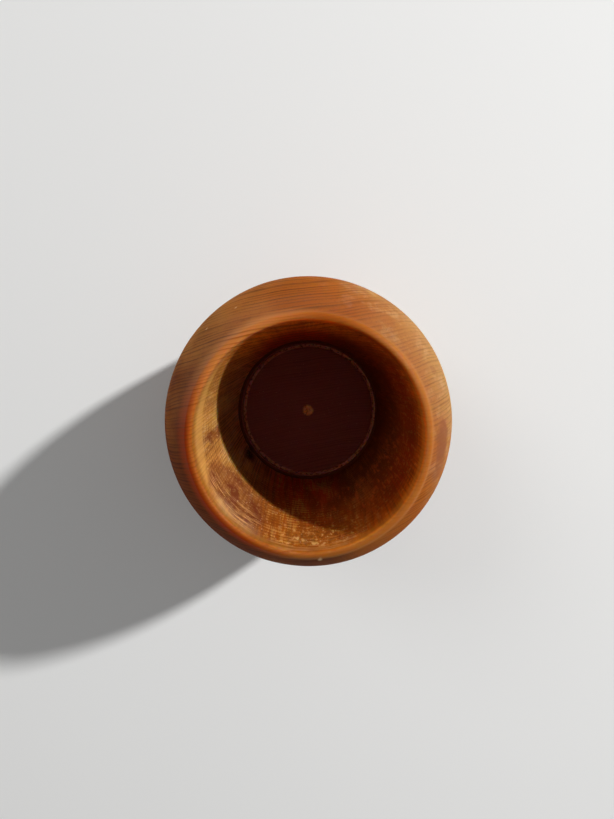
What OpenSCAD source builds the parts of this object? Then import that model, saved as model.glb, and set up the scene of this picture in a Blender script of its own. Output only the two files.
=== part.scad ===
// Turned wooden cup with a round belly, a small rounded lip and a bored hollow.
// One piece of wood, turned about the Z axis. It stands on its base at Z = 0, mouth up. Millimetres.

/* [Outside] */
// Height from the base to the top of the lip
cup_h = 114; // [104:1:130]
// Diameter at the belly, the widest place
belly_d = 92.8; // [88:0.2:102]
// Height of the belly above the base
belly_z = 56; // [45:1:64]
// Diameter of the base, out to its rounded edge
foot_d = 83; // [72:0.5:86]
// Radius of the rounded edge of the base
foot_round = 3; // [1:0.25:6]

/* [Lip] */
// Diameter of the hollow at the mouth
mouth_d = 57.8; // [55:0.2:62]
// Radius of the lip on the outside of its crest
lip_outer_round = 1.7; // [1:0.1:4]
// Radius of the lip on the inside of its crest
lip_inner_round = 0.8; // [0.3:0.1:2]

/* [Hollow] */
// Depth of the hollow below the crest of the lip
hollow_depth = 78; // [60:1:90]
// Diameter of the bit that bored the hollow
bit_d = 50; // [44:0.5:51]
// Width of the strip of floor between the scored ring and the corner of the wall
ledge_w = 0.6; // [0.2:0.1:1]
// Radius of the corner between the wall and the floor
corner_round = 0.8; // [0.3:0.1:1.5]

/* [Marks of the bit] */
// Width of the ring that the rim of the bit scored
score_w = 1.2; // [0.6:0.1:2]
// Depth of the scored ring below the floor
score_depth = 0.8; // [0.3:0.1:1.5]
// Slope of the outer side of the scored ring, measured across it
score_lean = 0.2; // [0.1:0.05:0.4]
// Diameter of the pit that the point of the bit left
spur_d = 3.4; // [2:0.2:6]
// Depth of the pit below the floor
spur_depth = 1.6; // [0.5:0.1:4]

/* [Hidden] */

// Widest gap between a true curve of the profile and the straight steps that draw it
curve_error = 0.01;
round_fn = 180;

belly = [belly_d / 2, belly_z];
foot_edge = [foot_d / 2 - foot_round, foot_round];

// The outer and the inner round of the lip meet at its crest
mouth_r = mouth_d / 2;
crest_r = mouth_r + lip_inner_round;
lip_outer = [crest_r, cup_h - lip_outer_round];
lip_inner = [crest_r, cup_h - lip_inner_round];

floor_z = cup_h - hollow_depth;
score_r = bit_d / 2;
floor_corner = [score_r + ledge_w, floor_z + corner_round];

// Points of an arc about `centre`, from the angle `from` to the angle `to`
function arc(centre, radius, from, to) =
    let (
        step = 2 * acos(1 - curve_error / radius),
        steps = ceil(abs(to - from) / step)
    )
    [
        for (i = [0 : steps])
            let (angle = from + (to - from) * i / steps)
            centre + radius * [cos(angle), sin(angle)]
    ];

// A bowed side: one long arc that is upright at `widest` and runs smoothly into a round of the
// radius `edge_r` about `edge`, which carries on to the angle `to`
function bowed_side(widest, edge, edge_r, to) =
    let (
        inset = widest.x - edge.x,
        rise = edge.y - widest.y,
        bow_r = (inset * inset + rise * rise - edge_r * edge_r) / (2 * (inset - edge_r)),
        meet = atan2(rise, bow_r - inset)
    )
    concat(
        arc([widest.x - bow_r, widest.y], bow_r, 0, meet),
        arc(edge, edge_r, meet, to)
    );

function reversed(points) = [for (i = [len(points) - 1 : -1 : 0]) points[i]];

// Drops the second of two equal points, where one stretch of the profile meets the next
function joined(points) = [
    for (i = [0 : len(points) - 1])
        if (i == 0 || norm(points[i] - points[max(i - 1, 0)]) > curve_error / 10)
            points[i]
];

// From the middle of the base, up the outside to the crest of the lip
outside_profile = concat(
    [[0, 0]],
    reversed(bowed_side(belly, foot_edge, foot_round, -90)),
    bowed_side(belly, lip_outer, lip_outer_round, 90)
);

// The wall of the hollow is straight and touches both the lip and the corner of the floor.
// This is the angle by which it leans outward.
wall_run = lip_inner - floor_corner;
wall_lean = atan2(wall_run.x, wall_run.y) - asin((lip_inner_round + corner_round) / norm(wall_run));

// From the crest, over the lip and down the wall to the floor
hollow_profile = concat(
    arc(lip_inner, lip_inner_round, 90, 180 - wall_lean),
    arc(floor_corner, corner_round, -wall_lean, -90)
);

// The rim of the bit scored a ring into the floor, and its point left a pit in the middle
floor_profile = [
    [score_r, floor_z],
    [score_r - score_lean, floor_z - score_depth],
    [score_r - score_w, floor_z],
    [spur_d / 2, floor_z],
    [0, floor_z - spur_depth]
];

module cup() {
    color("sienna")
    rotate_extrude($fn = round_fn)
        polygon(joined(concat(outside_profile, hollow_profile, floor_profile)));
}

cup();
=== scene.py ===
"""A turned wooden cup on a plain pale floor, seen from above into its mouth.

Lengths are millimetres, turned into Blender's metres where a mesh, a light or the camera is made.
Sides of the cup are angles round its axis in degrees: 0 is the right of the picture and 90 its top.
"""

import math
from types import SimpleNamespace

import bpy
import numpy as np
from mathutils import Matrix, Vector, noise


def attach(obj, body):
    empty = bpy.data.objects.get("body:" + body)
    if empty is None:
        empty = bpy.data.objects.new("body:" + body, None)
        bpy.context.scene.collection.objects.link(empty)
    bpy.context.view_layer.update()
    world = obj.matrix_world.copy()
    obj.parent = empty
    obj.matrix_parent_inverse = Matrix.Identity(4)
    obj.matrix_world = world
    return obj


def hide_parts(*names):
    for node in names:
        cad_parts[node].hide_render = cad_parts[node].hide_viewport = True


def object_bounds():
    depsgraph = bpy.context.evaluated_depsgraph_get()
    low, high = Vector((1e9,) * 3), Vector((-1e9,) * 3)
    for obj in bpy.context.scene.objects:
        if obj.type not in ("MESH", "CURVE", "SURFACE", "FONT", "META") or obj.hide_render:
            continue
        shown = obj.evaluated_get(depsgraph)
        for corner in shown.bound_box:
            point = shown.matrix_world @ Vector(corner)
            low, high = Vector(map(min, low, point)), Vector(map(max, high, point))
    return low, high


MM = 0.001

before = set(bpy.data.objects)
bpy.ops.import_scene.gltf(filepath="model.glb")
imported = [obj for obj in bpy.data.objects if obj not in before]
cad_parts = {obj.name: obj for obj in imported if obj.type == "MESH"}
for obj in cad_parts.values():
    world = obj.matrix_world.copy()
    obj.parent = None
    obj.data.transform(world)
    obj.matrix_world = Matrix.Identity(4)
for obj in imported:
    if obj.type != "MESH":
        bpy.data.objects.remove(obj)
cad_low, cad_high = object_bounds()

# Sizes of the cup, the same as the solid's
CUP_H = cad_high.z / MM
BELLY_R = (cad_high.x - cad_low.x) / 2 / MM
BELLY_Z = 56.0
FOOT_R = 41.5
FOOT_ROUND = 3.0
MOUTH_R = 28.9
LIP_OUTER_ROUND = 1.7
LIP_INNER_ROUND = 0.8
HOLLOW_DEPTH = 78.0
BIT_R = 25.0
LEDGE_W = 0.6
CORNER_ROUND = 0.8
SCORE_W = 1.2
SCORE_DEPTH = 0.8
SCORE_LEAN = 0.2
SPUR_R = 1.7
SPUR_DEPTH = 1.6

FLOOR_Z = CUP_H - HOLLOW_DEPTH
CREST_R = MOUTH_R + LIP_INNER_ROUND
SPUR_TIP_Z = FLOOR_Z - SPUR_DEPTH

# The mesh: steps round the cup, and the length of a step along each stretch of its outline
AROUND = 240
BASE_STEP = 4.0
FOOT_STEP = 0.5
SIDE_STEP = 1.1
WALL_STEP = 0.46
FLOOR_STEP = 0.9
SPUR_STEP = 0.35
FINE_STEP = 0.2
SAME_POINT = 0.0001

# Ridges that the turning tool left on the wall of the hollow, and the wood it tore out between them
RIDGE_PITCH = 2.4
RIDGE_HEIGHT = 0.06
TORN_HEIGHT = 0.16
TORN_LEAST = 0.2

# Rough wood in the scored ring and on the ledge beside it, and rougher wood in the pit
RING_ROUGHNESS = 0.15
PIT_ROUGHNESS = 0.35

# Low waves left on the outside and the lip, sunk a little to stay inside the solid's box
SIDE_WAVE = 0.05
SIDE_SINK = 0.06
LIP_WAVE = 0.04

# The lip was sanded smooth down to this depth, which is greatest on its left
SANDED_LEAST = 2.0
SANDED_MOST = 10.5
SANDED_FADE = 3.5

# Degrees to each side, and depths, over which the sanded lip and the torn wood end
SANDED_SPREAD = (62, 0)
TORN_SPREAD = (30, 8)
TORN_DEPTH = (24, 12)

# Each noise field is taken this far from the one before
SEED_SHIFT = (17.3, 5.1, 9.7)

# The tree's heart lay off to one side, so its rings cross the cup as nearly level arcs
PITH = (36.0, -205.0)
RING_W = 1.05
RING_CROWDING = 0.0026
HEART_LEAN = 0.05

# Sides of the hollow: where its wall is golden with painted light, amber, torn, flecked or sanded deepest,
# and where the key light reaches deepest, so that its painted shade further down starts lowest
GOLDEN_SIDE = 184.0
AMBER_SIDE = 225.0
TORN_SIDE = 275.0
FLECKED_SIDE = 308.0
SANDED_SIDE = 182.0
UNSOAKED_SIDE = 196.0

# Sides of the lip: where it has a painted sheen, a painted red glow, and a painted glow of light through
# it
PALE_SIDE = 150.0
RED_SIDE = 205.0
GLOWING_SIDE = 330.0

# Sides of the outside: where it has a painted sheen and where its painted shade is darkest
BLEACHED_SIDE = 24.0
DARK_SIDE = 215.0

# The torn wood of the scored ring shows a little to one side of the axis
SCORE_OFFSET = 0.45

# Light goes this far into the wood, red furthest
LIGHT_REACH = 6.0
LIGHT_REACH_BY_COLOUR = (1.0, 0.28, 0.04)

# How bright the plain background looks, where 1 is white, and the light that it gives
BACKGROUND = 0.72
STUDIO_LIGHT = 0.232

# The studio floor in metres: its width, and from where to where it runs into the plain background
STUDIO_FLOOR_W = 8
FLOOR_FADE_START = 0.25
FLOOR_FADE_END = 0.75

# The photograph looks into the mouth from just above the axis
CAMERA_PLACE = (-0.4, 19.9, 259.0)
CAMERA_PITCH = -5.03
FOCAL_PX = 590
LONG_SIDE_PX = 819
SENSOR_W = 36
CLIP_START = 0.01


def polar(degrees, radius, height):
    """A point of the cup from its side, its distance from the axis and its height."""
    angle = math.radians(degrees)
    return np.array((radius * math.cos(angle), radius * math.sin(angle), height))


# Dents in the surface: the middle, the reach along x, y and z, and the depth
DENTS = (
    (polar(275.5, 31.0, 111.5), (0.9, 2.5, 2.6), 0.25),
    (polar(135.2, 39.7, 94.8), (0.6, 0.6, 0.8), 0.2),
    (polar(120.6, 38.9, 96.8), (0.5, 0.5, 0.7), 0.15),
    (polar(214.9, 26.3, 36.6), (1.6, 1.6, 1.6), 0.9),
)

# Reddish stains on the wall and the outside: the middle, the reach along x, y and z, and the strength
STAINS = (
    (polar(185.6, 27.9, 87.0), (6.0, 2.4, 17.0), 0.9),
    (polar(209.0, 28.2, 98.0), (8.0, 6.5, 14.0), 1.0),
    (polar(219.0, 28.2, 90.0), (11.0, 10.0, 19.0), 1.0),
    (polar(231.0, 28.2, 97.0), (8.5, 9.5, 15.0), 1.0),
    (polar(356.0, 35.0, 104.0), (6.5, 8.0, 9.0), 1.0),
    (polar(346.0, 36.0, 103.0), (6.0, 6.0, 8.0), 0.7),
    (polar(25.0, 37.7, 99.8), (3.5, 2.5, 3.5), 0.35),
    (polar(60.0, 44.0, 75.0), (9.0, 9.0, 7.0), 0.3),
    (polar(250.0, 45.0, 66.0), (9.0, 9.0, 6.0), 0.35),
)

# A dark spot low on the wall, given the same way
BURNT = ((polar(216.5, 25.9, 44.0), (4.5, 4.5, 13.0), 1.0),)

# Places on the wall where scratches run round it, given the same way
SCRATCHED = (
    (polar(214.0, 28.6, 103.0), (8.0, 9.0, 11.0), 0.8),
    (polar(230.0, 28.6, 103.0), (8.0, 9.0, 12.0), 0.9),
    (polar(262.0, 28.8, 109.0), (10.0, 5.0, 9.0), 0.5),
    (polar(286.0, 28.8, 110.0), (10.0, 5.0, 7.0), 0.45),
)

# Painted highlights inside the lip, given the same way
RUBBED = (
    (polar(222.0, 28.6, 108.0), (6.0, 7.0, 7.0), 0.15),
    (polar(236.0, 28.8, 109.0), (6.0, 5.0, 6.0), 0.12),
)

# Nicks that laid bare the pale wood, given the same way
NICKS = (
    (polar(275.5, 31.1, 111.5), (0.9, 2.4, 2.6), 0.9),
    (polar(135.2, 39.7, 94.8), (0.7, 0.7, 0.9), 0.8),
    (polar(120.6, 38.9, 96.8), (0.6, 0.6, 0.7), 0.5),
)


def arc(centre, radius, start, stop, step):
    """Points of an arc, its angles in degrees, about a step apart."""
    length = abs(math.radians(stop - start)) * radius
    count = max(2, math.ceil(length / step))
    angles = np.radians(np.linspace(start, stop, count + 1))
    return [(centre[0] + radius * math.cos(a), centre[1] + radius * math.sin(a)) for a in angles]


def line(start, stop, step):
    """Points of a straight stretch, about a step apart."""
    count = max(1, math.ceil(math.dist(start, stop) / step))
    steps = np.linspace(0, 1, count + 1)
    return [(start[0] + (stop[0] - start[0]) * t, start[1] + (stop[1] - start[1]) * t) for t in steps]


def bowed_side(widest, edge, edge_r, stop, step, edge_step):
    """One long arc, upright at its widest, that runs smoothly into a round about the point `edge`."""
    inset = widest[0] - edge[0]
    rise = edge[1] - widest[1]
    bow_r = (inset**2 + rise**2 - edge_r**2) / (2 * (inset - edge_r))
    meet = math.degrees(math.atan2(rise, bow_r - inset))
    long_arc = arc((widest[0] - bow_r, widest[1]), bow_r, 0, meet, step)
    return long_arc + arc(edge, edge_r, meet, stop, edge_step)


def wall_lean(lip, corner):
    """The wall's lean from upright in degrees, where it touches the rounds of the lip and the corner."""
    run = lip[0] - corner[0]
    climb = lip[1] - corner[1]
    crossing = math.asin((LIP_INNER_ROUND + CORNER_ROUND) / math.hypot(run, climb))
    return math.degrees(math.atan2(run, climb) - crossing)


def outline():
    """The half outline of the cup as (radius, height), and the stretch that each point is on."""
    belly = (BELLY_R, BELLY_Z)
    foot_edge = (FOOT_R - FOOT_ROUND, FOOT_ROUND)
    lip_outer = (CREST_R, CUP_H - LIP_OUTER_ROUND)
    lip_inner = (CREST_R, CUP_H - LIP_INNER_ROUND)
    corner = (BIT_R + LEDGE_W, FLOOR_Z + CORNER_ROUND)
    lean = wall_lean(lip_inner, corner)
    lip = arc(lip_inner, LIP_INNER_ROUND, 90, 180 - lean, FINE_STEP)
    turn = arc(corner, CORNER_ROUND, -lean, -90, FINE_STEP)
    score_outer = (BIT_R, FLOOR_Z)
    score_bottom = (BIT_R - SCORE_LEAN, FLOOR_Z - SCORE_DEPTH)
    score_inner = (BIT_R - SCORE_W, FLOOR_Z)
    spur_edge = (SPUR_R, FLOOR_Z)
    outer_face = line(score_outer, score_bottom, FINE_STEP)
    inner_face = line(score_bottom, score_inner, FINE_STEP)
    stretches = [
        ("base", line((0, 0), (foot_edge[0], 0), BASE_STEP)),
        ("side", bowed_side(belly, foot_edge, FOOT_ROUND, -90, SIDE_STEP, FOOT_STEP)[::-1]),
        ("side", bowed_side(belly, lip_outer, LIP_OUTER_ROUND, 90, SIDE_STEP, FINE_STEP)),
        ("lip", lip),
        ("wall", line(lip[-1], turn[0], WALL_STEP)),
        ("ledge", turn + line(turn[-1], score_outer, FINE_STEP)),
        ("score", outer_face + inner_face),
        ("floor", line(score_inner, spur_edge, FLOOR_STEP)),
        ("spur", line(spur_edge, (0, SPUR_TIP_Z), SPUR_STEP)),
    ]
    points = []
    names = []
    for name, stretch in stretches:
        for point in stretch:
            if not points or math.dist(point, points[-1]) > SAME_POINT:
                points.append(point)
                names.append(name)
    return np.array(points), np.array(names)


def smooth(low, high, value):
    """0 at low, 1 at high, and an even change between them."""
    t = np.clip((value - low) / (high - low), 0, 1)
    return t * t * (3 - 2 * t)


def noise_field(points, scale, seed):
    """Smooth noise from -1 to 1 at each point, with the scale given for x, y and z."""
    shift = Vector([seed * step for step in SEED_SHIFT])
    rows = points.reshape(-1, 3) * np.array(scale)
    values = [noise.noise(Vector(row) + shift) for row in rows]
    return np.array(values).reshape(points.shape[:-1])


def turned_by(degrees, side):
    """How far an angle lies from a side of the cup, from 0 to 180 degrees."""
    return np.abs((degrees - side + 180) % 360 - 180)


def dent(place, middle, reach):
    """1 at the middle of a dent, falling to 0 at its reach."""
    offset = (place - middle) / np.array(reach)
    return smooth(1, 0, np.linalg.norm(offset, axis=-1))


def on_stretch(names, *wanted):
    """A column that is 1 on the wanted stretches of the outline and 0 on the others."""
    return np.isin(names, wanted)[:, None].astype(float)


def tool_marks(place, names, degrees, depth):
    """How rough the wall is at each point, the ridges of the tool on it, and how torn it is."""
    spread = smooth(*SANDED_SPREAD, turned_by(degrees, SANDED_SIDE))
    sanded = SANDED_LEAST + (SANDED_MOST - SANDED_LEAST) * spread
    rough = on_stretch(names, "wall") * smooth(0, SANDED_FADE, depth - sanded)
    wander = noise_field(place, (0.05, 0.05, 0.03), 1)
    ridge = 0.5 + 0.5 * np.cos(2 * math.pi * (depth / RIDGE_PITCH + 0.5 * wander))

    # Wood tears where the rings lie flat against the wall, most of all near the lip at the front
    front = smooth(*TORN_SPREAD, turned_by(degrees, TORN_SIDE)) * smooth(*TORN_DEPTH, depth)
    torn = TORN_LEAST + (1 - TORN_LEAST) * front
    return rough, ridge, torn


def relief(place, names, rough, ridge, torn):
    """How far each point is lifted from the outline by ridges, torn wood, waves and dents."""
    height = place[..., 2]
    swell = 0.7 + 0.6 * noise_field(place, (0.04, 0.04, 0.02), 2)
    torn_bits = noise_field(place, (0.55, 0.55, 0.8), 3)
    fine = noise_field(place, (1.4, 1.4, 1.4), 4)
    lift = rough * (RIDGE_HEIGHT * swell * ridge + TORN_HEIGHT * torn * (torn_bits - 0.3))
    lift = lift + on_stretch(names, "score", "ledge") * RING_ROUGHNESS * fine
    lift = lift + on_stretch(names, "spur") * PIT_ROUGHNESS * fine

    # The outside is smooth, but for what the sander left of the turning
    waves = noise_field(place, (0.02, 0.02, 0.16), 5) + noise_field(place, (0.06, 0.06, 0.06), 6)
    above_foot = smooth(0.5, 4, height)
    lift = lift + on_stretch(names, "side") * (SIDE_WAVE * waves - SIDE_SINK) * above_foot
    lip_waves = noise_field(place, (0.12, 0.12, 0.12), 7)
    lift = lift + on_stretch(names, "lip") * LIP_WAVE * (lip_waves - 1)

    for middle, reach, sink in DENTS:
        lift = lift - sink * dent(place, middle, reach)
    return lift


def lathe_faces(rows):
    """Faces between rows of points round the axis, closed by the first point and the last."""
    last = 1 + rows * AROUND
    last_row = last - AROUND
    faces = []
    for i in range(AROUND):
        j = (i + 1) % AROUND
        faces.append((0, 1 + j, 1 + i))
        for low in range(1, last_row, AROUND):
            high = low + AROUND
            faces.append((low + i, low + j, high + j, high + i))
        faces.append((last_row + i, last_row + j, last))
    return faces


def add_mask(mesh, name, values):
    """A value for each point of the mesh; the two poles take their neighbours' values."""
    layer = mesh.attributes.new(name, "FLOAT", "POINT")
    full = np.broadcast_to(values, (len(values), AROUND))
    rows = full[1:-1].astype(np.float32).ravel()
    layer.data.foreach_set("value", np.concatenate([rows[:1], rows, rows[-1:]]))


def cup_mesh():
    """The cup as one fine closed mesh, with masks that tell its material where it is."""
    profile, names = outline()
    tangent = np.gradient(profile, axis=0)
    tangent /= np.linalg.norm(tangent, axis=1)[:, None]
    angle = np.linspace(0, 2 * math.pi, AROUND, endpoint=False)
    radius = profile[:, 0][:, None]
    height = profile[:, 1][:, None]
    x = radius * np.cos(angle)
    y = radius * np.sin(angle)
    place = np.stack([x, y, np.broadcast_to(height, x.shape)], axis=-1)

    rough, ridge, torn = tool_marks(place, names, np.degrees(angle)[None, :], CUP_H - height)
    lift = relief(place, names, rough, ridge, torn)
    out_r = tangent[:, 1][:, None]
    out_z = -tangent[:, 0][:, None]
    lifted = np.stack([lift * out_r * np.cos(angle), lift * out_r * np.sin(angle), lift * out_z], axis=-1)
    rows = (place + lifted)[1:-1]
    verts = np.concatenate([[[0, 0, 0]], rows.reshape(-1, 3), [[0, 0, SPUR_TIP_Z]]])
    faces = lathe_faces(len(rows))

    mesh = bpy.data.meshes.new("turned_cup")
    mesh.from_pydata((verts * MM).tolist(), [], faces)
    mesh.polygons.foreach_set("use_smooth", [True] * len(faces))
    bottom = on_stretch(names, "ledge", "score", "floor", "spur")
    add_mask(mesh, "inside", bottom + on_stretch(names, "lip", "wall"))
    add_mask(mesh, "bottom", bottom)
    add_mask(mesh, "rough", rough)
    add_mask(mesh, "ridge", ridge)
    add_mask(mesh, "torn", rough * torn)
    mesh.update()
    return mesh


class Graph:
    """Short calls that add shader nodes and link them."""

    def __init__(self, owner):
        owner.use_nodes = True
        self.tree = owner.node_tree
        self.tree.nodes.clear()

    def add(self, kind, **settings):
        node = self.tree.nodes.new(kind)
        for name, value in settings.items():
            setattr(node, name, value)
        return node

    def put(self, socket, value):
        """A socket linked to another, or set to a plain value."""
        if isinstance(value, bpy.types.NodeSocket):
            self.tree.links.new(value, socket)
        else:
            socket.default_value = value

    def math(self, operation, *values):
        node = self.add("ShaderNodeMath", operation=operation)
        for socket, value in zip(node.inputs, values):
            self.put(socket, value)
        return node.outputs[0]

    def vector(self, operation, *values):
        node = self.add("ShaderNodeVectorMath", operation=operation)
        for socket, value in zip(node.inputs, values):
            self.put(socket, value)
        return node.outputs["Value" if operation in ("LENGTH", "DOT_PRODUCT") else "Vector"]

    def times(self, *values):
        product = values[0]
        for value in values[1:]:
            product = self.math("MULTIPLY", product, value)
        return product

    def total(self, *parts):
        """The sum of (value, weight) pairs."""
        result = 0.0
        for value, weight in parts:
            result = self.math("MULTIPLY_ADD", value, weight, result)
        return result

    def split(self, vector):
        node = self.add("ShaderNodeSeparateXYZ")
        self.put(node.inputs[0], vector)
        return node.outputs

    def join(self, *parts):
        node = self.add("ShaderNodeCombineXYZ")
        for socket, value in zip(node.inputs, parts):
            self.put(socket, value)
        return node.outputs[0]

    def mask(self, name):
        return self.add("ShaderNodeAttribute", attribute_name=name).outputs["Fac"]

    def noise(self, place, scale, detail, roughness, output="Fac"):
        node = self.add("ShaderNodeTexNoise")
        self.put(node.inputs["Vector"], self.vector("MULTIPLY", place, scale))
        self.put(node.inputs["Scale"], 1.0)
        self.put(node.inputs["Detail"], detail)
        self.put(node.inputs["Roughness"], roughness)
        return node.outputs[output]

    def wobble(self, place, scale, detail, roughness, span):
        """A place moved about by noise, over a span given for x, y and z."""
        shift = self.noise(place, scale, detail, roughness, "Color")
        shift = self.vector("SUBTRACT", shift, (0.5, 0.5, 0.5))
        return self.vector("ADD", place, self.vector("MULTIPLY", shift, span))

    def smooth(self, value, low, high, at_low=0.0, at_high=1.0):
        """An even change between two values, from where the first ends to where the second starts."""
        node = self.add("ShaderNodeMapRange", interpolation_type="SMOOTHSTEP")
        settings = {"Value": value, "From Min": low, "From Max": high, "To Min": at_low, "To Max": at_high}
        for name, setting in settings.items():
            self.put(node.inputs[name], setting)
        return node.outputs["Result"]

    def mix(self, factor, a, b, blend="MIX"):
        node = self.add("ShaderNodeMix", data_type="RGBA", blend_type=blend)
        self.put(node.inputs[0], factor)
        self.put(node.inputs[6], a)
        self.put(node.inputs[7], b)
        return node.outputs[2]

    def spot(self, place, middle, reach, edge):
        """1 in an ellipsoid about its middle, falling to 0 at its reach."""
        offset = self.vector("SUBTRACT", place, tuple(middle))
        scaled = self.vector("MULTIPLY", offset, tuple(1 / r for r in reach))
        return self.smooth(self.vector("LENGTH", scaled), 1.0, edge)


def colour(red, green, blue):
    """A solid colour from its linear parts."""
    return (red, green, blue, 1.0)


# Colours of the outside, with its painted shade and painted sheen; the last three darken what lies under
# them
TAN = colour(0.44, 0.150, 0.024)
DEEP_ORANGE = colour(0.28, 0.066, 0.002)
SHADED = colour(0.165, 0.030, 0.002)
BLEACHED = colour(0.325, 0.155, 0.048)
BLOTCHED = colour(0.48, 0.260, 0.120)
OUTSIDE_STAIN = colour(0.18, 0.052, 0.018)
BARE_OUTSIDE = colour(0.85, 0.55, 0.24)
LINES_ON_LEFT = colour(0.38, 0.33, 0.36)
LINES_ON_RIGHT = colour(0.60, 0.51, 0.46)
PORE_SHADE = colour(0.45, 0.40, 0.50)

# Colours of the lip, with its painted glow, painted sheen and painted red glow
LIP_PLAIN = colour(0.30, 0.084, 0.008)
LIP_GLOWING = colour(0.38, 0.138, 0.024)
LIP_PALE = colour(0.58, 0.215, 0.055)
LIP_AMBER = colour(0.33, 0.118, 0.016)
LIP_RED = colour(0.40, 0.043, 0.002)
LIP_LINES = colour(0.24, 0.058, 0.006)

# Colours of the wall of the hollow, with its painted light and painted glow near the lip, then its painted
# shade and painted light further down
WALL_ORANGE = colour(0.92, 0.215, 0.008)
WALL_BROWN = colour(0.33, 0.027, 0.001)
AMBER = colour(0.34, 0.070, 0.003)
GOLDEN = colour(0.56, 0.232, 0.047)
SANDED_AMBER = colour(0.33, 0.100, 0.012)
SANDED_GOLDEN = colour(0.63, 0.285, 0.066)
GLOW_UNDER_LIP = colour(0.72, 0.130, 0.002)
EDGE_PLAIN = colour(0.34, 0.075, 0.006)
EDGE_GLOWING = colour(0.64, 0.222, 0.022)
SOAKED_RED = colour(0.58, 0.042, 0.001)
SOAKED_BROWN = colour(0.125, 0.021, 0.004)
SOAKED_GOLDEN = colour(0.90, 0.320, 0.140)

# Colours of the marks on the wall, with painted shade in torn gaps, a painted glint, and one pale colour
# for nicks and painted highlights
WALL_LINES = colour(0.13, 0.026, 0.003)
CHARRED = colour(0.03, 0.008, 0.002)
WEAVE_DARK = colour(0.13, 0.028, 0.004)
WEAVE_PALE = colour(0.44, 0.080, 0.008)
WEAVE_PALE_AMBER = colour(0.74, 0.340, 0.070)
WEAVE_PALE_GOLDEN = colour(0.80, 0.440, 0.170)
WALL_STAIN = colour(0.140, 0.023, 0.006)
FLECK = colour(0.60, 0.105, 0.018)
TORN = colour(0.50, 0.150, 0.016)
GAP = colour(0.14, 0.034, 0.006)
CHIP = colour(0.80, 0.42, 0.13)
SCRATCH = colour(0.68, 0.33, 0.11)
SPARK = colour(0.95, 0.66, 0.30)
BARE_WALL = colour(0.72, 0.48, 0.30)
DUST = colour(0.80, 0.50, 0.34)

# Colours of the floor of the hollow, with painted shade in its outer corner
FLOOR_EARLY_WOOD = colour(0.35, 0.086, 0.068)
FLOOR_LATE_WOOD = colour(0.24, 0.053, 0.038)
LEDGE = colour(0.17, 0.034, 0.012)
TORN_RING = colour(0.72, 0.290, 0.190)
TORN_PIT = colour(1.0, 0.43, 0.17)

# Colours of the studio
WHITE = colour(1.0, 1.0, 1.0)
STUDIO_FLOOR = colour(0.82, 0.82, 0.81)
STUDIO_FLOOR_PALE = colour(0.85, 0.85, 0.84)


def level_direction(degrees):
    """The level direction from the axis towards a side of the cup."""
    angle = math.radians(degrees)
    return (math.cos(angle), math.sin(angle), 0.0)


def toward(g, wood, degrees):
    """1 on this side of the cup and -1 on the opposite side."""
    return g.vector("DOT_PRODUCT", g.vector("NORMALIZE", wood.flat), level_direction(degrees))


def marks(g, place, spots, ragged=5.0, edge=0.2):
    """All the spots of a list together, with ragged edges."""
    shifted = g.wobble(place, (0.35, 0.35, 0.2), 3, 0.6, (ragged, ragged, 2 * ragged))
    result = 0.0
    for middle, reach, strength in spots:
        result = g.math("MAXIMUM", result, g.times(g.spot(shifted, middle, reach, edge), strength))
    return result


def growth_rings(g, place):
    """The dark late wood of each ring, the broad bands that some years left, and fine lines along both."""
    x, y, z = g.split(g.wobble(place, (0.028, 0.028, 0.007), 2, 0.5, (5.0, 5.0, 0.0)))
    away = g.join(g.math("SUBTRACT", x, PITH[0]), g.math("SUBTRACT", y, PITH[1]), 0.0)
    heart = g.math("SUBTRACT", g.vector("LENGTH", away), math.hypot(*PITH))
    heart = g.math("MULTIPLY_ADD", z, HEART_LEAN, heart)
    along = g.join(heart, 0.0, 0.0)
    count = g.total(
        (heart, 1 / RING_W),
        (g.math("MULTIPLY", heart, heart), RING_CROWDING),
        (g.noise(along, (0.31, 1, 1), 2, 0.6), 3.0),
    )
    part = g.math("FRACT", count)
    late = g.times(g.smooth(part, 0.30, 0.84), g.smooth(part, 1.0, 0.90))
    strength = g.smooth(g.noise(along, (0.55, 1, 1), 2, 0.6), 0.3, 0.7, 0.45, 1.0)
    patchy = g.smooth(g.noise(place, (0.06, 0.06, 0.014), 2, 0.5), 0.3, 0.65, 0.5, 1.0)
    late = g.times(late, strength, patchy)
    broad = g.smooth(g.noise(along, (0.16, 1, 1), 3, 0.6), 0.3, 0.7)
    grain = g.noise(g.join(heart, x, z), (2.2, 0.08, 0.02), 4, 0.7)
    return late, broad, grain


def add_noises(g, wood):
    """The growth rings and the noises that follow them."""
    wood.late, wood.broad, wood.grain = growth_rings(g, wood.place)
    wood.fibre = g.noise(wood.place, (1.7, 1.7, 0.05), 3, 0.6)
    wood.streak = g.noise(wood.place, (0.42, 0.42, 0.035), 3, 0.55)
    wood.pore = g.noise(wood.place, (4.0, 4.0, 0.4), 2, 0.6)
    wood.mottle = g.noise(wood.place, (0.055, 0.055, 0.014), 3, 0.55)
    wood.scratch = g.noise(wood.place, (0.12, 0.12, 1.25), 3, 0.65)
    wood.crumb = g.noise(wood.place, (0.85, 0.85, 0.36), 3, 0.62)
    wood.shreds = g.noise(wood.place, (0.9, 0.9, 0.9), 3, 0.65)
    wood.drift = g.math("MULTIPLY", g.math("SUBTRACT", wood.mottle, 0.5), 1.4)


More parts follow.
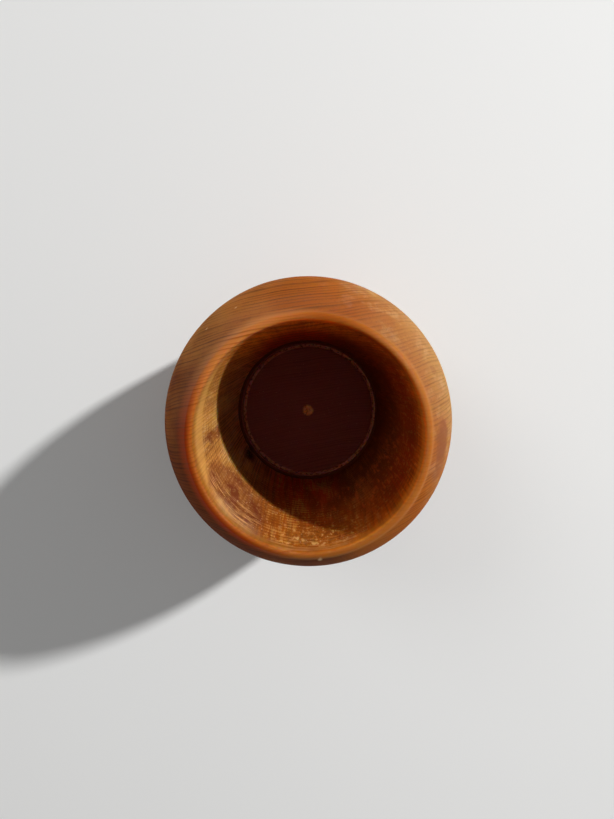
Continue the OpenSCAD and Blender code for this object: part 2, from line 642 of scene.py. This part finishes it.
def add_sides(g, wood):
    """How far each point lies from the lip's crest, and which sides of the lip and the wall it is on."""
    crest_offset = g.math("SUBTRACT", wood.radius, CREST_R)
    wood.from_crest = g.vector("LENGTH", g.join(crest_offset, g.times(wood.depth, 0.8), 0.0))
    # Where the lip has its painted sheen and its painted red glow, and where the wall has its painted
    # light
    wood.pale_lip = g.smooth(toward(g, wood, PALE_SIDE), 0.3, 0.92)
    wood.red_lip = g.smooth(toward(g, wood, RED_SIDE), 0.45, 0.9)
    wood.golden = g.smooth(toward(g, wood, GOLDEN_SIDE), 0.35, 0.95)
    wood.amber = g.smooth(toward(g, wood, AMBER_SIDE), -0.2, 0.8)

    # Painted shade further down the hollow, starting lower on the side where the key light reaches deepest
    start = g.smooth(toward(g, wood, UNSOAKED_SIDE), -0.2, 0.95, 0.0, 34.0)
    below = g.math("SUBTRACT", g.math("MULTIPLY_ADD", wood.drift, 10.0, wood.depth), start)
    wood.soaked = g.smooth(below, 0, 50)


def surface(g):
    """What the parts of the wood share: places, masks, noises, sides and spots."""
    wood = SimpleNamespace()
    coords = g.add("ShaderNodeTexCoord")
    wood.place = g.vector("MULTIPLY", coords.outputs["Object"], (1 / MM, 1 / MM, 1 / MM))
    wood.x, y, wood.z = g.split(wood.place)
    wood.flat = g.join(wood.x, y, 0.0)
    wood.radius = g.vector("LENGTH", wood.flat)
    wood.depth = g.math("SUBTRACT", CUP_H, wood.z)
    for name in ("inside", "bottom", "rough", "ridge", "torn"):
        setattr(wood, name, g.mask(name))
    add_noises(g, wood)
    add_sides(g, wood)
    wood.stain = marks(g, wood.place, STAINS, edge=0.5)
    wood.nicks = marks(g, wood.place, NICKS, 0.6)
    return wood


def outside_colour(g, wood):
    """Deep orange, with painted shade at the lower left and a painted sheen on the right, with fine dark
    lines.
    """
    from_left = g.math("ADD", wood.x, g.times(wood.drift, 30.0))
    tone = g.mix(g.smooth(from_left, -40, 0), TAN, DEEP_ORANGE)
    # Painted shade on the lower left, the side away from the key light, strongest near the lip
    dark_side = g.smooth(g.math("ADD", toward(g, wood, DARK_SIDE), wood.drift), 0.1, 1.0)
    tone = g.mix(g.times(dark_side, g.smooth(wood.z, 30, 75, 0.3, 1.0)), tone, SHADED)
    # Painted sheen on the right, where the key light falls, broken into paler blotches
    across = g.vector("DOT_PRODUCT", wood.flat, level_direction(BLEACHED_SIDE))
    bleached = g.smooth(g.math("MULTIPLY_ADD", wood.drift, 14.0, across), 20, 42)
    tone = g.mix(bleached, tone, BLEACHED)
    blotch = g.smooth(g.noise(wood.place, (0.20, 0.24, 0.06), 3, 0.6), 0.48, 0.68)
    tone = g.mix(g.times(blotch, g.smooth(across, 14, 34), 0.35), tone, BLOTCHED)

    lines = g.total(
        (wood.late, 0.36),
        (wood.grain, 0.44),
        (wood.broad, 0.10),
        (wood.streak, 0.10),
        (wood.fibre, 0.12),
    )
    line_tone = g.mix(g.smooth(wood.x, -10, 30), LINES_ON_LEFT, LINES_ON_RIGHT)
    tone = g.mix(g.smooth(lines, 0.36, 0.74), tone, line_tone, "MULTIPLY")
    pores = g.smooth(g.noise(wood.place, (2.4, 2.4, 0.14), 2, 0.6), 0.56, 0.68)
    tone = g.mix(g.times(pores, 0.3), tone, PORE_SHADE, "MULTIPLY")
    return g.mix(g.times(wood.stain, 0.8), tone, OUTSIDE_STAIN)


def lip_colour(g, wood):
    """The lip, with a painted glow on its right, a painted sheen at its upper left and a painted red glow
    at its lower left.
    """
    # Painted glow on the right of the lip, where the key light shines through it
    glowing = g.smooth(toward(g, wood, GLOWING_SIDE), -0.3, 0.3)
    tone = g.mix(glowing, LIP_PLAIN, LIP_GLOWING)
    # Painted sheen on the lip's upper left, crossed by the grain's lines
    tone = g.mix(wood.pale_lip, tone, LIP_PALE)
    # Painted red glow on the outer side of the lower left lip, amber on its inner side
    outward = g.smooth(wood.radius, MOUTH_R - 0.2, CREST_R + 1.6)
    tone = g.mix(wood.red_lip, tone, g.mix(outward, LIP_AMBER, LIP_RED))
    lines = g.times(g.smooth(wood.late, 0.1, 0.9), g.smooth(wood.pale_lip, 0, 1, 0.2, 0.7))
    return g.mix(lines, tone, LIP_LINES)


def rubbed_outside(g, wood, lip_tone):
    """The outside with the lip's colour, its painted sheen and painted red glow included, over its crest,
    and its nicks.
    """
    reach = g.total((wood.pale_lip, 3.0), (wood.red_lip, 2.0), (1.0, 3.2))
    crest = g.smooth(wood.from_crest, reach, 1.0)
    tone = g.mix(g.times(crest, 0.8), outside_colour(g, wood), lip_tone)
    return g.mix(wood.nicks, tone, BARE_OUTSIDE)


def clean_wall(g, wood, lip_tone):
    """The wall of the hollow: golden with painted light on one side, amber beside it, and elsewhere orange
    with painted light running to brown.
    """
    # Orange of painted light on the shaded top of the wall, running to brown on the right
    wall = g.mix(g.smooth(wood.x, 4, 26), WALL_ORANGE, WALL_BROWN)
    wall = g.mix(wood.amber, wall, AMBER)
    # Painted light, golden, on the left where the key light falls
    wall = g.mix(wood.golden, wall, GOLDEN)
    sanded = g.mix(wood.amber, wall, SANDED_AMBER)
    sanded = g.mix(wood.golden, sanded, SANDED_GOLDEN)
    wall = g.mix(wood.rough, sanded, wall)

    # Painted glow just under the lip on the right, standing in for light from outside glowing through the
    # wood
    glow = g.times(g.smooth(wood.depth, 14.0, 3.0), g.smooth(wood.x, -8, 18))
    edge = g.mix(g.smooth(toward(g, wood, GLOWING_SIDE), 0.25, 0.85), EDGE_PLAIN, EDGE_GLOWING)
    wall = g.mix(glow, wall, g.mix(g.smooth(wood.depth, 6.0, 1.0), GLOW_UNDER_LIP, edge))
    # The lip's colour, with its painted sheen and painted red glow, spreads in over the crest on those
    # sides
    worn_side = g.math("MAXIMUM", wood.pale_lip, wood.red_lip)
    spread_in = g.times(g.smooth(wood.from_crest, 5.0, 0.5), worn_side)
    on_lip = g.math("MAXIMUM", spread_in, g.smooth(wood.from_crest, 0.8, 0.1))
    return g.mix(on_lip, wall, lip_tone)


def soaked_wall(g, wood, wall):
    """The wall with the darker colours of painted shade further down, and paler painted light there on the
    golden side.
    """
    tone = g.mix(g.smooth(wood.x, 0, 15), SOAKED_RED, SOAKED_BROWN)
    tone = g.mix(wood.golden, tone, SOAKED_GOLDEN)
    return g.mix(wood.soaked, wall, tone)


def tooled_wall(g, wood, wall):
    """Lines along the grain, crossed by the marks of the tool: dark in places and pale in others."""
    dark = g.total(
        (wood.late, 0.16),
        (wood.grain, 0.22),
        (wood.broad, 0.14),
        (wood.streak, 0.30),
        (wood.fibre, 0.28),
    )
    lines = g.times(g.smooth(dark, 0.36, 0.68), g.smooth(wood.rough, 0, 1, 0.3, 0.8))
    wall = g.mix(lines, wall, WALL_LINES)
    wall = g.mix(marks(g, wood.place, BURNT, 2.0), wall, CHARRED)

    fibrous = g.smooth(g.noise(wood.place, (0.12, 0.12, 0.06), 2, 0.5), 0.35, 0.65)
    weave = g.total(
        (wood.fibre, 0.40),
        (wood.scratch, 0.30),
        (wood.ridge, 0.12),
        (g.times(wood.fibre, fibrous), 0.30),
        (wood.streak, 0.05),
    )
    plain = g.times(wood.rough, g.smooth(wood.soaked, 0, 1, 1.0, 0.6))
    wall = g.mix(g.times(g.smooth(weave, 0.46, 0.34), plain, 0.55), wall, WEAVE_DARK)
    # The pale marks are paler where the wall has its painted light
    pale_tone = g.mix(wood.golden, WEAVE_PALE_AMBER, WEAVE_PALE_GOLDEN)
    pale_tone = g.mix(wood.amber, WEAVE_PALE, pale_tone)
    return g.mix(g.times(g.smooth(weave, 0.50, 0.68), plain, 0.5), wall, pale_tone)


def stained_wall(g, wood, wall):
    """The wall with its cloudy reddish stains, and with raised fibres that catch the light."""
    cloudy = g.smooth(g.noise(wood.place, (0.18, 0.18, 0.10), 3, 0.5), 0.36, 0.58, 0.6, 0.95)
    wall = g.mix(g.times(wood.stain, cloudy), wall, WALL_STAIN)
    raised = g.smooth(g.noise(wood.place, (0.8, 0.8, 0.13), 3, 0.65), 0.52, 0.66)
    flecked_side = g.smooth(toward(g, wood, FLECKED_SIDE), 0.5, 0.95)
    halfway_down = g.times(g.smooth(wood.depth, 60, 45), g.smooth(wood.depth, 8, 24))
    return g.mix(g.times(raised, wood.rough, flecked_side, halfway_down, 0.45), wall, FLECK)


def torn_wall(g, wood, wall):
    """The wall with the wood that the tool tore, painted shade in its gaps, its scratches, painted glints,
    painted highlights and nicks.
    """
    wall = g.mix(g.smooth(wood.torn, 0.25, 1.0, 0.0, 0.3), wall, TORN)
    # Painted shade in the gaps of the torn wood
    gaps = g.times(g.smooth(wood.crumb, 0.48, 0.36), wood.torn)
    wall = g.mix(g.times(gaps, 0.6), wall, GAP)
    standing = g.smooth(wood.crumb, 0.54, 0.68)
    wall = g.mix(g.times(standing, wood.torn, g.smooth(wood.soaked, 0, 1, 0.8, 0.2)), wall, CHIP)
    scratches = g.times(g.smooth(wood.scratch, 0.51, 0.60), marks(g, wood.place, SCRATCHED))
    wall = g.mix(scratches, wall, SCRATCH)
    # Painted glints on the amber side of the rough wall
    points = g.smooth(g.noise(wood.place, (2.4, 2.4, 1.1), 1, 0.5), 0.69, 0.78)
    wall = g.mix(g.times(points, wood.rough, wood.amber, 0.6), wall, SPARK)
    # Painted highlights inside the lip, and the pale bare wood of the nicks
    bare = g.math("MAXIMUM", marks(g, wood.place, RUBBED, 0.6), wood.nicks)
    return g.mix(bare, wall, BARE_WALL)


def hollow_floor(g, wood):
    """End grain, darkest and reddest, with painted shade in its outer corner, a torn ring and the pit of
    the bit's point.
    """
    dark = g.total((wood.late, 0.30), (wood.grain, 0.35), (wood.pore, 0.35))
    floor = g.mix(g.smooth(dark, 0.2, 0.8), FLOOR_EARLY_WOOD, FLOOR_LATE_WOOD)
    # Painted shade in the corner where the floor meets the wall
    floor = g.mix(g.smooth(wood.radius, BIT_R + 0.1, BIT_R + 0.5), floor, LEDGE)
    off_centre = g.vector("LENGTH", g.vector("SUBTRACT", wood.flat, (SCORE_OFFSET, 0.0, 0.0)))
    from_ring = g.math("ABSOLUTE", g.math("SUBTRACT", off_centre, BIT_R - SCORE_W / 2))
    ring = g.times(g.smooth(from_ring, 0.8, 0.25), g.smooth(wood.shreds, 0.36, 0.52))
    floor = g.mix(ring, floor, TORN_RING)
    pit = g.times(g.smooth(wood.radius, SPUR_R + 0.7, SPUR_R - 0.3), g.smooth(wood.crumb, 0.36, 0.50))
    return g.mix(pit, floor, TORN_PIT)


def wood_colour(g, wood):
    """The colour of the whole cup, with specks of dust in its hollow."""
    lip_tone = lip_colour(g, wood)
    wall = clean_wall(g, wood, lip_tone)
    for treat in (soaked_wall, tooled_wall, stained_wall, torn_wall):
        wall = treat(g, wood, wall)
    tone = g.mix(wood.inside, rubbed_outside(g, wood, lip_tone), wall)
    tone = g.mix(wood.bottom, tone, hollow_floor(g, wood))
    specks = g.smooth(g.noise(wood.place, (2.6, 2.6, 2.6), 1, 0.5), 0.71, 0.80)
    return g.mix(g.times(specks, wood.inside, g.smooth(wood.depth, 14, 40), 0.4), tone, DUST)


def wood_bump(g, wood):
    """Grain too fine for the mesh, its heights in millimetres."""
    outside = g.total((wood.late, 0.014), (wood.grain, 0.016), (wood.pore, 0.010))
    wall = g.total((wood.fibre, 0.07), (wood.scratch, 0.07), (g.times(wood.crumb, wood.torn), 0.22))
    floor = g.total((wood.pore, 0.06), (wood.shreds, 0.10))
    height = g.total(
        (outside, g.math("SUBTRACT", 1.0, wood.inside)),
        (wall, wood.rough),
        (floor, wood.bottom),
    )
    bump = g.add("ShaderNodeBump")
    bump.inputs["Strength"].default_value = 1.0
    bump.inputs["Distance"].default_value = MM
    g.put(bump.inputs["Height"], height)
    return bump.outputs["Normal"]


def wood_roughness(g, wood):
    """Satin on the outside, rougher in the hollow and where the surface is seen edge on."""
    tooled = g.math("MAXIMUM", wood.rough, wood.bottom)
    satin = g.math("ADD", g.total((wood.mottle, 0.14), (wood.late, -0.06), (tooled, 0.22)), 0.34)
    edge_on = g.add("ShaderNodeLayerWeight")
    edge_on.inputs["Blend"].default_value = 0.5
    blunt = g.smooth(edge_on.outputs["Facing"], 0.45, 0.95)
    return g.smooth(blunt, 0, 1, satin, 0.85)


def wood_material():
    """Oiled wood, which light sinks into a little way."""
    material = bpy.data.materials.new("turned_wood")
    g = Graph(material)
    wood = surface(g)
    shader = g.add("ShaderNodeBsdfPrincipled")
    g.put(shader.inputs["Base Color"], wood_colour(g, wood))
    g.put(shader.inputs["Roughness"], wood_roughness(g, wood))
    g.put(shader.inputs["Normal"], wood_bump(g, wood))
    shader.inputs["Specular IOR Level"].default_value = 0.05
    shader.inputs["Subsurface Weight"].default_value = 0.9
    shader.inputs["Subsurface Radius"].default_value = LIGHT_REACH_BY_COLOUR
    shader.inputs["Subsurface Scale"].default_value = LIGHT_REACH * MM
    out = g.add("ShaderNodeOutputMaterial")
    g.put(out.inputs["Surface"], shader.outputs["BSDF"])
    return material


def floor_material():
    """A pale matt floor, which far from the cup runs into the plain background."""
    material = bpy.data.materials.new("pale_floor")
    g = Graph(material)
    coords = g.add("ShaderNodeTexCoord")
    tone = g.noise(coords.outputs["Object"], (3, 3, 3), 3, 0.5)
    shader = g.add("ShaderNodeBsdfPrincipled")
    g.put(shader.inputs["Base Color"], g.mix(tone, STUDIO_FLOOR, STUDIO_FLOOR_PALE))
    shader.inputs["Roughness"].default_value = 0.8
    shader.inputs["Specular IOR Level"].default_value = 0.2

    plain = g.add("ShaderNodeEmission")
    plain.inputs["Color"].default_value = WHITE
    plain.inputs["Strength"].default_value = BACKGROUND
    seen = g.add("ShaderNodeLightPath").outputs["Is Camera Ray"]
    far = g.smooth(g.vector("LENGTH", coords.outputs["Object"]), FLOOR_FADE_START, FLOOR_FADE_END)
    join = g.add("ShaderNodeMixShader")
    g.put(join.inputs[0], g.times(seen, far))
    g.put(join.inputs[1], shader.outputs["BSDF"])
    g.put(join.inputs[2], plain.outputs[0])
    out = g.add("ShaderNodeOutputMaterial")
    g.put(out.inputs["Surface"], join.outputs[0])
    return material


def studio_world():
    """Pale light from all round, brightest overhead and dimmest from the lower left."""
    world = bpy.data.worlds.new("studio")
    g = Graph(world)
    x, y, z = g.split(g.add("ShaderNodeTexCoord").outputs["Generated"])
    across = g.total((x, 0.5), (y, 0.86))
    level = g.times(g.smooth(across, -0.8, 0.5, 0.35, 1.0), g.smooth(z, 0.75, 1.0, 1.0, 1.9))
    seen = g.add("ShaderNodeLightPath").outputs["Is Camera Ray"]
    light = g.add("ShaderNodeBackground")
    light.inputs["Color"].default_value = WHITE
    g.put(light.inputs["Strength"], g.smooth(seen, 0, 1, g.times(level, STUDIO_LIGHT), BACKGROUND))
    out = g.add("ShaderNodeOutputWorld")
    g.put(out.inputs["Surface"], light.outputs[0])
    return world


def area_light(name, direction, distance, size, watts):
    """A round soft light, its distance and size in metres, aimed at the middle of the cup."""
    data = bpy.data.lights.new(name, "AREA")
    data.shape = "DISK"
    data.size = size
    data.energy = watts
    light = bpy.data.objects.new(name, data)
    middle = Vector((0, 0, CUP_H / 2)) * MM
    light.location = middle + Vector(direction).normalized() * distance
    light.rotation_euler = (middle - light.location).to_track_quat("-Z", "Y").to_euler()
    bpy.context.collection.objects.link(light)


def add_camera():
    """The camera at the photograph's place and angle."""
    data = bpy.data.cameras.new("camera")
    data.sensor_width = SENSOR_W
    data.lens = FOCAL_PX * SENSOR_W / LONG_SIDE_PX
    data.clip_start = CLIP_START
    camera = bpy.data.objects.new("camera", data)
    camera.location = Vector(CAMERA_PLACE) * MM
    camera.rotation_euler = (math.radians(CAMERA_PITCH), 0, 0)
    bpy.context.collection.objects.link(camera)
    bpy.context.scene.camera = camera


cup = bpy.data.objects.new("turned_cup", cup_mesh())
bpy.context.collection.objects.link(cup)
cup.data.materials.append(wood_material())
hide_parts("cup")
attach(cup, "root")

bpy.ops.mesh.primitive_plane_add(size=STUDIO_FLOOR_W)
floor = bpy.context.object
floor.name = "floor"
floor.data.materials.append(floor_material())

# A small key light from the right, and a dim broad one from the upper left
area_light("key", direction=(0.68, 0.43, 0.59), distance=2.0, size=0.11, watts=40)
area_light("fill", direction=(-0.50, 0.45, 0.74), distance=1.6, size=0.7, watts=3)

add_camera()
bpy.context.scene.world = studio_world()
bpy.context.scene.view_settings.view_transform = "Standard"
